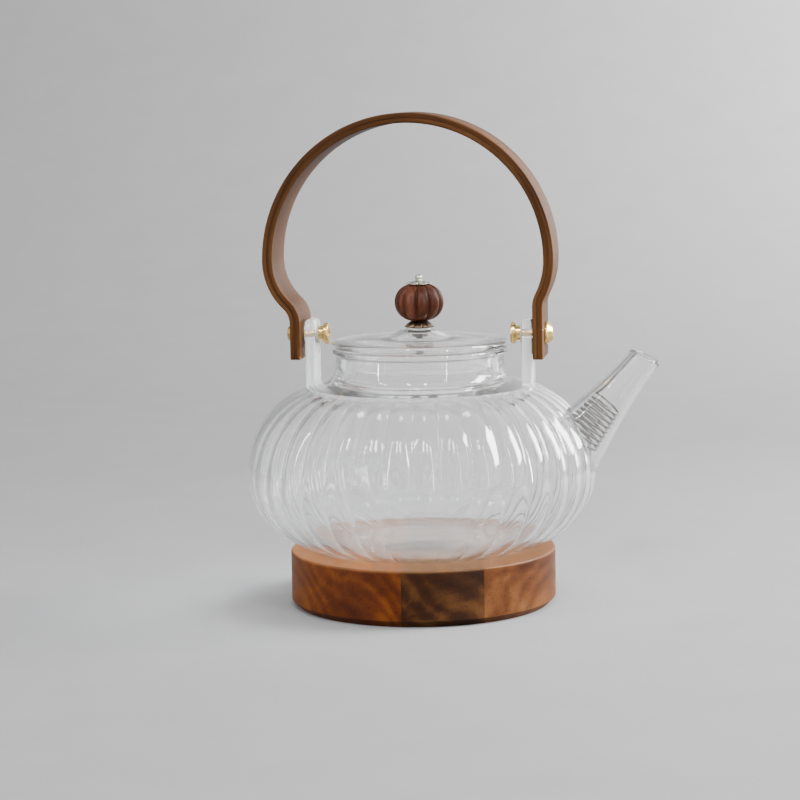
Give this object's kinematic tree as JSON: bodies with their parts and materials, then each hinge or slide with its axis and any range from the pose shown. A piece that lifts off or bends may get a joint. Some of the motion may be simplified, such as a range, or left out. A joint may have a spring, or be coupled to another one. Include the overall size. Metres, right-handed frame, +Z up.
{
  "type": "glass teapot",
  "caption": "Ribbed glass teapot with a bail handle of bent wood, a lid with a carved bead knob and a coiled spout strainer, on a round wooden stand.",
  "frame": {"origin": "centre of the stand's underside, on the pot's axis", "axes": "+Z up along the pot's axis, +X towards the spout, handle in the XZ plane"},
  "size_m": [0.1639, 0.1382, 0.1944],
  "materials": {
    "clear_glass": "clear, fire-polished",
    "walnut": "oiled, satin, grain along the bend",
    "walnut_bead": "carved and waxed",
    "acacia_red": "oiled, satin",
    "acacia_dark": "oiled, satin",
    "brass": "polished",
    "dark_brass": "blackened",
    "pale_metal": "worn pewter",
    "steel": "drawn wire",
    "silicone": "translucent, matte"
  },
  "bodies": {
    "stand": {"stand_stave_left": "acacia_red", "stand_stave_middle": "acacia_dark", "stand_stave_right": "acacia_red"},
    "pot": {"pot_bowl": "clear_glass", "spout": "clear_glass", "lug_left": "clear_glass", "lug_right": "clear_glass", "inner_washer_left": "silicone", "outer_washer_left": "silicone", "pivot_bolt_left": "brass", "pivot_nut_left": "brass", "inner_washer_right": "silicone", "outer_washer_right": "silicone", "pivot_bolt_right": "brass", "pivot_nut_right": "brass"},
    "handle": {"handle_outer_ply": "walnut", "handle_inner_ply": "walnut"},
    "lid": {"lid_glass": "clear_glass", "knob_screw": "steel", "lid_nut": "steel", "knob_petal_cap": "dark_brass", "knob_bead": "walnut_bead", "knob_crown_cap": "pale_metal", "knob_finial": "pale_metal", "lid_washer_lower": "silicone", "lid_washer_upper": "silicone"},
    "strainer": {"strainer_coil": "steel"}
  },
  "joints": [
    {"name": "pot_lift", "type": "slide", "parent": "stand", "child": "pot", "axis": [0, 0, 1], "range_m": [0, 0.08]},
    {"name": "handle_swing", "type": "hinge", "parent": "pot", "child": "handle", "pos_m": [0, 0, 0.1075], "axis": [1, 0, 0], "range_deg": [-105, 105]},
    {"name": "lid_lift", "type": "slide", "parent": "pot", "child": "lid", "axis": [0, 0, 1], "range_m": [0, 0.045]},
    {"name": "strainer_pull", "type": "slide", "parent": "pot", "child": "strainer", "axis": [-0.6334, 0, -0.7738], "range_m": [0, 0.008]}
  ]
}
